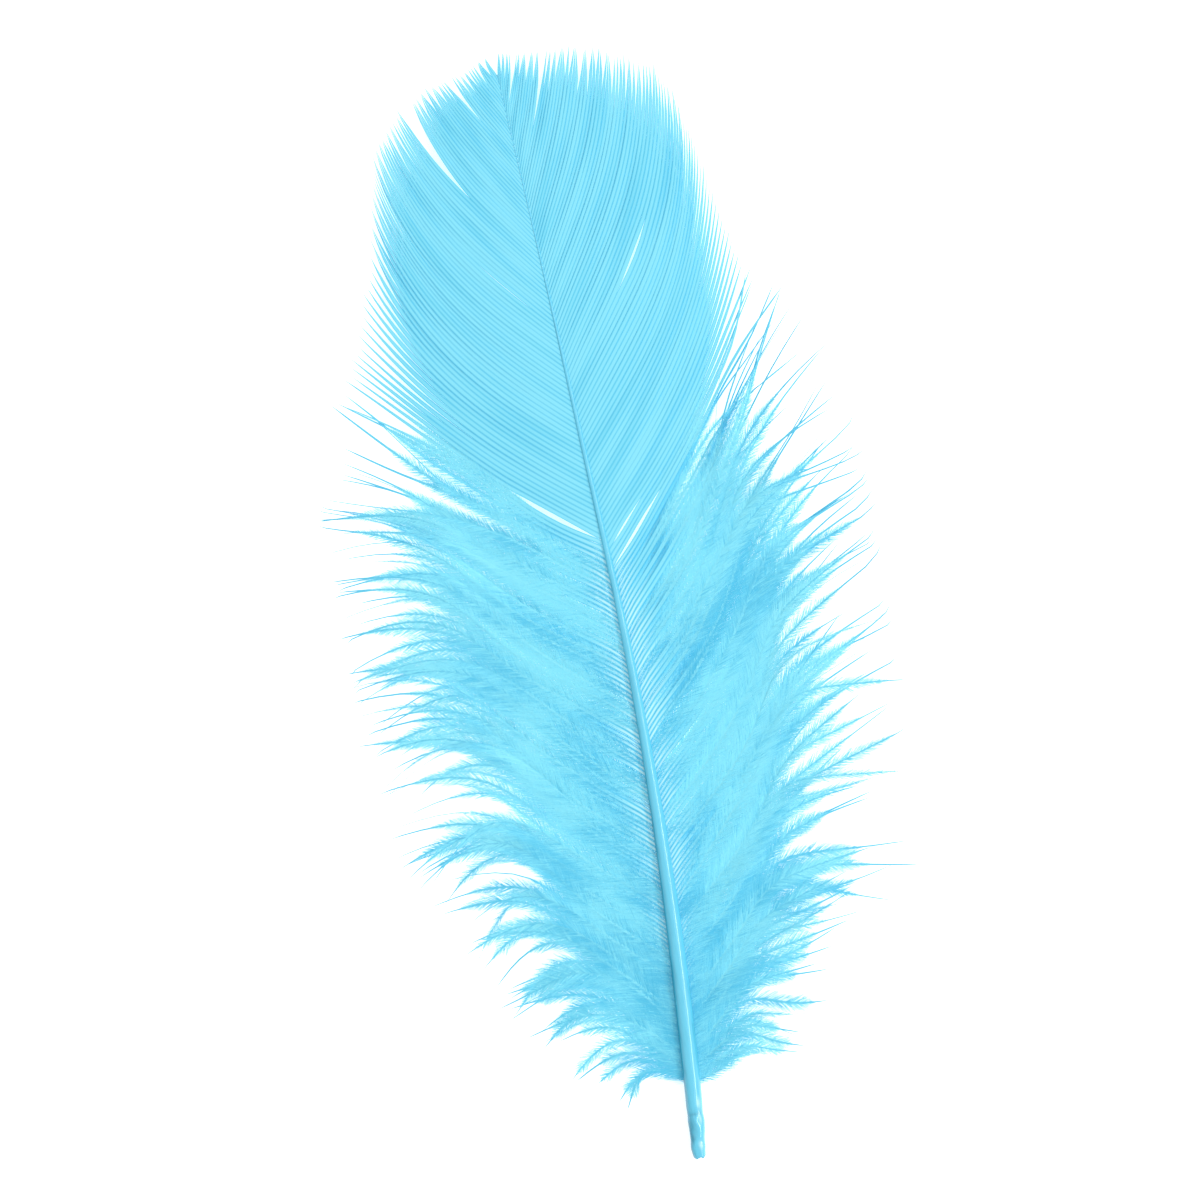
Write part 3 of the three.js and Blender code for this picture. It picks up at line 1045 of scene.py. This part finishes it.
def quill_material(name, colours):
    """Dyed horn: smooth and a little glossy, with painted shade down its left flank, darker spots
    and painted highlights.
    """
    nodes = Nodes(name)
    fine = nodes.noise(STREAK_SCALE, STREAK_STRETCH)
    flank = nodes.attribute("flank")
    shade = flank.between(0.15, 0.8) * 0.42 + flank.between(0.72, 0.93) * 0.5
    shade = shade * nodes.attribute("dimmed") + fine.between(0.4, 0.75) * 0.2
    shade = shade + nodes.attribute("dark") * 0.4
    dyed = nodes.mix(shade.between(0.0, 1.0), colours.quill, colours.quill_flank)
    # Painted highlights on the pressed quill.
    dyed = nodes.mix(nodes.attribute("gleam") * 0.75, dyed, colours.painted_sheen)
    return nodes.finish(
        **{
            "Base Color": dyed,
            "Roughness": fine * 0.12 + 0.16,
            "IOR": 1.5,
            "Coat Weight": 0.8,
            "Coat Roughness": 0.12,
            "Normal": nodes.bump(fine, STREAK_DEPTH),
        }
    )


def paper_material(name, colour):
    """Matt paper that glows faintly, for the photo's white background."""
    nodes = Nodes(name)
    return nodes.finish(
        **{
            "Base Color": colour,
            "Roughness": 0.9,
            "Specular IOR Level": 0.1,
            "Emission Color": colour,
            "Emission Strength": TABLE_GLOW,
        }
    )


class PlumeSizes(bpy.types.PropertyGroup):
    """Sizes of the plume, in millimetres where they are lengths"""

    spacing: FloatProperty(
        name="Barb spacing",
        description="Factor on the distance between neighbouring barbs",
        default=1.0,
        min=0.7,
        max=2.0,
        subtype="FACTOR",
    )
    core: FloatProperty(
        name="Barb width",
        description="Width of a loose barb near its root, in mm",
        default=0.42,
        min=0.05,
    )
    barbule: FloatProperty(
        name="Barbule length",
        description="Length of the longest barbules, in mm",
        default=3.3,
        min=0.2,
    )
    barbule_spacing: FloatProperty(
        name="Barbule spacing",
        description="Distance between neighbouring barbules, in mm",
        default=0.085,
        min=0.05,
    )
    barbule_width: FloatProperty(
        name="Barbule width",
        description="Thickness of a barbule at its root, in mm",
        default=0.15,
        min=0.01,
    )
    loft: FloatProperty(
        name="Loft",
        description="How high the down stands up from the feather, in mm",
        default=2.4,
        min=0.0,
    )
    shaft_sides: IntProperty(
        name="Shaft sides",
        description="Number of faces round the shaft",
        default=32,
        min=8,
    )


# The shaft's rings: a step apart in the bare quill, and this many over the rest of it.
QUILL_LENGTH = 10
QUILL_STEP = 0.33
SHAFT_RINGS = 56


def colour_property(name, description, default):
    return FloatVectorProperty(
        name=name, description=description, default=default, subtype="COLOR", size=3, min=0, max=1
    )


class PlumeColours(bpy.types.PropertyGroup):
    """Colours of the plume and of the table"""

    # Crest and groove are the web's own colour, with a painted highlight on each rib's top and
    # painted shade between the ribs.
    lit_crest: colour_property("Crest", "Top of each rib of the web", (0.245, 0.765, 0.94))
    # Sheen is a painted highlight, on the barbs beside the shaft and on the quill.
    painted_sheen: colour_property("Sheen", "Light line on a barb beside the shaft", (0.62, 0.94, 1.0))
    shaded_groove: colour_property("Groove", "Between the ribs of the web", (0.115, 0.6, 0.83))
    core: colour_property("Barb", "Bare barbs of the down", (0.13, 0.6, 0.82))
    down: colour_property("Down", "Barbules that lie on top", (0.285, 0.825, 0.965))
    # Down below is the down's colour in painted shade.
    shaded_down: colour_property("Down below", "Barbules that lie lower", (0.12, 0.595, 0.83))
    quill: colour_property("Quill", "Shaft and quill", (0.13, 0.63, 0.86))
    # Quill flank is the quill's colour in painted shade, down its left side.
    quill_flank: colour_property("Quill flank", "Shaded side of the shaft", (0.02, 0.27, 0.41))
    table: colour_property("Table", "The plain table under the feather", (0.95, 0.95, 0.95))


def model_shaft(sizes):
    """The shaft, extruded ring by ring from its cut end to its tip, most finely in the quill."""
    deselect_all()
    in_quill = np.arange(0, QUILL_LENGTH, QUILL_STEP)
    places = np.concatenate([in_quill, np.linspace(QUILL_LENGTH, SHAFT_LENGTH, SHAFT_RINGS)])
    centres = np.stack([smooth(SHAFT_BOW, places), places, shaft_height(places)], axis=1)
    centres -= (MIDDLE_X, MIDDLE_Y, 0)
    radii = smooth(SHAFT_RADIUS, places)
    centres[:, 2] = np.maximum(centres[:, 2], radii + SHAFT_CLEARANCE)
    bpy.ops.mesh.primitive_circle_add(
        vertices=sizes.shaft_sides,
        radius=radii[0] * MM,
        fill_type="NGON",
        location=centres[0] * MM,
        rotation=(math.pi / 2, 0, 0),
    )
    shaft = bpy.context.object
    shaft.name = "shaft"
    place_is_in_mesh(shaft)
    bpy.ops.object.mode_set(mode="EDIT")
    bpy.ops.mesh.select_all(action="SELECT")
    for before, after, old, new in zip(centres, centres[1:], radii, radii[1:]):
        step = Vector((after - before) * MM)
        bpy.ops.mesh.extrude_region_move(TRANSFORM_OT_translate={"value": step})
        grown = (new / old,) * 3
        bpy.ops.transform.resize(value=grown, center_override=Vector(after * MM))
    bpy.ops.mesh.select_all(action="SELECT")
    bpy.ops.mesh.normals_make_consistent(inside=False)
    bpy.ops.object.mode_set(mode="OBJECT")
    bpy.ops.object.shade_smooth()
    return shaft


# Where the quill has been pressed in: along it, across it as a share of its radius, how far the
# dent reaches each way and how deep it is, which DENT_DEPTH multiplies. Then where the quill's
# sides kink in or out, and by how much.
QUILL_DENTS = [
    (5.9, -0.1, 0.5, 0.8, 0.16),
    (4.6, 0.45, 0.8, 0.35, 0.12),
    (3.2, -0.35, 1.0, 0.4, 0.2),
    (1.8, 0.3, 0.35, 0.6, 0.18),
    (0.9, -0.2, 0.5, 0.5, 0.12),
]
DENT_DEPTH = 1.7
QUILL_KINKS = [(5.6, -0.07), (4.7, 0.05), (2.1, -0.06), (1.3, 0.05)]
KINK_REACH = 0.7

# The quill wobbles a little to the sides. Its end is ragged over RAGGED_FROM: it stands out by
# CUT_BACK, and by RAGGED_BY more in two points.
WOBBLE = 0.08
RAGGED_FROM = 0.7
CUT_BACK = 0.12
RAGGED_BY = 0.32

# The painted shade down the shaft's left flank fades to half its strength between these places.
FLANK_SHADE_FADES = (30, 80)

# Where the pressed horn is darker, the last row being a painted shadow along the shaft's right edge
# instead, and where painted highlights gleam: along, across, and the reach each way.
QUILL_DARK = [
    (4.1, -0.45, 1.3, 0.4),
    (2.4, -0.5, 0.5, 0.3),
    (5.6, 0.1, 0.25, 0.8),
    # This row is a painted shadow along the shaft's right edge.
    (16, 1.0, 6, 0.25),
]
QUILL_PAINTED_GLEAMS = [(7.0, 0.5, 0.7, 0.16), (4.9, 0.5, 0.6, 0.15), (1.4, 0.4, 0.5, 0.25)]


def spots(places, along, aside):
    """Soft spots on the quill, 1 in their middle."""
    values = np.zeros(len(along))
    for place, beside, long, wide in places:
        values += np.exp(-(((along - place) / long) ** 2) - ((aside - beside) / wide) ** 2)
    return np.clip(values, 0, 1)


def shape_quill(shaft):
    """Presses the quill a little, cuts its end ragged in two points, and marks where painted shade
    falls down its left flank, where it is darker and where painted highlights gleam.
    """
    points = points_of(shaft.data) / MM + (MIDDLE_X, MIDDLE_Y, 0)
    along = points[:, 1]
    centre_x = smooth(SHAFT_BOW, along)
    centre_z = np.maximum(shaft_height(along), smooth(SHAFT_RADIUS, along) + SHAFT_CLEARANCE)
    radius = smooth(SHAFT_RADIUS, along)
    aside = (points[:, 0] - centre_x) / radius
    above = (points[:, 2] - centre_z) / radius
    for place, beside, long, wide, deep in QUILL_DENTS:
        reach = ((along - place) / long) ** 2 + ((aside - beside) / wide) ** 2
        points[:, 2] -= DENT_DEPTH * deep * np.exp(-reach) * (above > 0)
    for place, out in QUILL_KINKS:
        points[:, 0] += out * np.exp(-(((along - place) / KINK_REACH) ** 2)) * aside
    points[:, 0] -= WOBBLE * np.sin(along * 1.2) * np.exp(-along / 5)
    at_end = np.clip(1 - along / RAGGED_FROM, 0, 1)
    points[:, 1] -= at_end * (CUT_BACK + RAGGED_BY * np.sin(math.pi * np.abs(aside)) ** 2)
    write_points(shaft.data, points)
    write_values(
        shaft.data,
        flank=np.clip(-aside, 0, 1),
        dimmed=1 - 0.5 * ease(*FLANK_SHADE_FADES, along),
        dark=spots(QUILL_DARK, along, aside) * (above > 0),
        gleam=spots(QUILL_PAINTED_GLEAMS, along, aside) * (above > 0),
    )


class PLUME_OT_shaft(bpy.types.Operator):
    """Model the shaft and its bare quill"""

    bl_idname = "plume.shaft"
    bl_label = "Shaft"

    def execute(self, context):
        shaft = model_shaft(context.scene.plume_sizes)
        shape_quill(shaft)
        settle(shaft, quill_material("dyed_horn", context.scene.plume_colours))
        return {"FINISHED"}


class PLUME_OT_web(bpy.types.Operator):
    """Model the ribs of the barbs on both sides, which close into a web in the vane"""

    bl_idname = "plume.web"
    bl_label = "Barbs"

    def execute(self, context):
        material = barb_material("dyed_barbs", context.scene.plume_colours)
        template = model_rib()
        for half in (LEFT, RIGHT):
            barbs = grow(half, context.scene.plume_sizes)
            for part, chosen in (("vane", barbs["woven"] > 0.5), ("rib", barbs["woven"] <= 0.5)):
                ribs = [lay_rib(template, barbs, i) for i in np.flatnonzero(chosen)]
                settle(joined(ribs, f"{part}_{half['name']}"), material)
        remove_templates([template])
        return {"FINISHED"}


class PLUME_OT_down(bpy.types.Operator):
    """Model the barbules of the down and of the loose barbs at the foot of the vane"""

    bl_idname = "plume.down"
    bl_label = "Down"

    def execute(self, context):
        sizes = context.scene.plume_sizes
        material = barbule_material("dyed_down", context.scene.plume_colours)
        templates = {}
        for half in (LEFT, RIGHT):
            barbs = grow(half, sizes)
            downy = np.flatnonzero(barbs["woven"] < ALL_WEB)
            for part, chosen in zip(("low", "high"), np.array_split(downy, 2)):
                combs = [lay_comb(templates, barbs, i, sizes) for i in chosen]
                down = joined(combs, f"down_{half['name']}_{part}")
                down.visible_shadow = False
                down.visible_diffuse = False
                settle(down, material)
        remove_templates(templates.values())
        return {"FINISHED"}


# How the feather lies in the photo: the picture's width in pixels, the millimetres that a pixel
# covers, how far the tip leans left, in degrees, and the place under the middle of the picture.
PHOTO_PIXELS = 1200
MM_PER_PIXEL = 0.1334
PHOTO_TILT = 10.62
PHOTO_MIDDLE = (0.598, 75.21)

# The camera's height over the table and the nearest that it sees, in metres, and the width of its
# sensor in millimetres.
CAMERA_HEIGHT = 1.0
NEAREST_SEEN = 0.01
SENSOR = 36.0

# The table's width and how far it lies below zero, in metres, and the glow of it and of the room.
TABLE_SIZE = 6
TABLE_BELOW = 0.00002
TABLE_GLOW = 0.5
ROOM_LIGHT = 0.72

# Soft lights: name, metres to the right and up in the picture, height, length, breadth and power.
LIGHTS = (
    ("key", 0.95, 0.0, 0.95, 1.6, 0.1, 7.5),
    ("second", 0.42, 0.0, 1.1, 1.6, 0.03, 1.0),
    ("fill", -0.7, 0.5, 1.3, 1.2, 1.2, 2.0),
)


class PLUME_OT_stage(bpy.types.Operator):
    """Set the pale table, the soft lights and the camera that looks straight down"""

    bl_idname = "plume.stage"
    bl_label = "Stage"

    def execute(self, context):
        colours = context.scene.plume_colours
        deselect_all()
        bpy.ops.mesh.primitive_plane_add(size=TABLE_SIZE, location=(0, 0, -TABLE_BELOW))
        table = context.object
        table.name = "table"
        table.data.materials.append(paper_material("pale_table", colours.table))
        place_is_in_mesh(table)

        tilt = math.radians(PHOTO_TILT)
        across_photo = Vector((math.cos(tilt), -math.sin(tilt), 0))
        up_photo = Vector((math.sin(tilt), math.cos(tilt), 0))
        for name, right, up, height, length, breadth, power in LIGHTS:
            place = right * across_photo + up * up_photo + Vector((0, 0, height))
            bpy.ops.object.light_add(type="AREA", location=place)
            light = context.object
            light.name = name
            light.data.shape = "RECTANGLE"
            light.data.size = length
            light.data.size_y = breadth
            light.data.energy = power
            light.rotation_euler = (-light.location).to_track_quat("-Z", "Y").to_euler()

        world = context.scene.world or bpy.data.worlds.new("studio")
        context.scene.world = world
        world.use_nodes = True
        background = world.node_tree.nodes["Background"]
        background.inputs["Color"].default_value = (1, 1, 1, 1)
        background.inputs["Strength"].default_value = ROOM_LIGHT
        context.scene.view_settings.view_transform = "Standard"

        width = PHOTO_PIXELS * MM_PER_PIXEL * MM
        middle_x = (PHOTO_MIDDLE[0] - MIDDLE_X) * MM
        middle_y = (PHOTO_MIDDLE[1] - MIDDLE_Y) * MM
        place = (middle_x, middle_y, CAMERA_HEIGHT)
        bpy.ops.object.camera_add(location=place, rotation=(0, 0, -tilt))
        camera = context.object
        camera.name = "camera"
        camera.data.sensor_width = SENSOR
        camera.data.lens = SENSOR * CAMERA_HEIGHT / width
        camera.data.clip_start = NEAREST_SEEN
        context.scene.camera = camera
        return {"FINISHED"}


class PLUME_PT_build(bpy.types.Panel):
    """Sizes, colours and building steps of the plume"""

    bl_idname = "PLUME_PT_build"
    bl_label = "Plume"
    bl_space_type = "VIEW_3D"
    bl_region_type = "UI"
    bl_category = "Plume"

    def draw(self, context):
        for group in (context.scene.plume_sizes, context.scene.plume_colours):
            box = self.layout.box()
            for name in group.__annotations__:
                box.prop(group, name)
        for operator in OPERATORS:
            self.layout.operator(operator.bl_idname)


OPERATORS = (PLUME_OT_shaft, PLUME_OT_web, PLUME_OT_down, PLUME_OT_stage)
CLASSES = (PlumeSizes, PlumeColours, *OPERATORS, PLUME_PT_build)


def register():
    for each in CLASSES:
        bpy.utils.register_class(each)
    bpy.types.Scene.plume_sizes = PointerProperty(type=PlumeSizes)
    bpy.types.Scene.plume_colours = PointerProperty(type=PlumeColours)


def unregister():
    del bpy.types.Scene.plume_colours
    del bpy.types.Scene.plume_sizes
    for each in reversed(CLASSES):
        bpy.utils.unregister_class(each)


def main():
    register()
    bpy.ops.plume.shaft()
    bpy.ops.plume.web()
    bpy.ops.plume.down()
    bpy.ops.plume.stage()


if __name__ == "__main__":
    main()
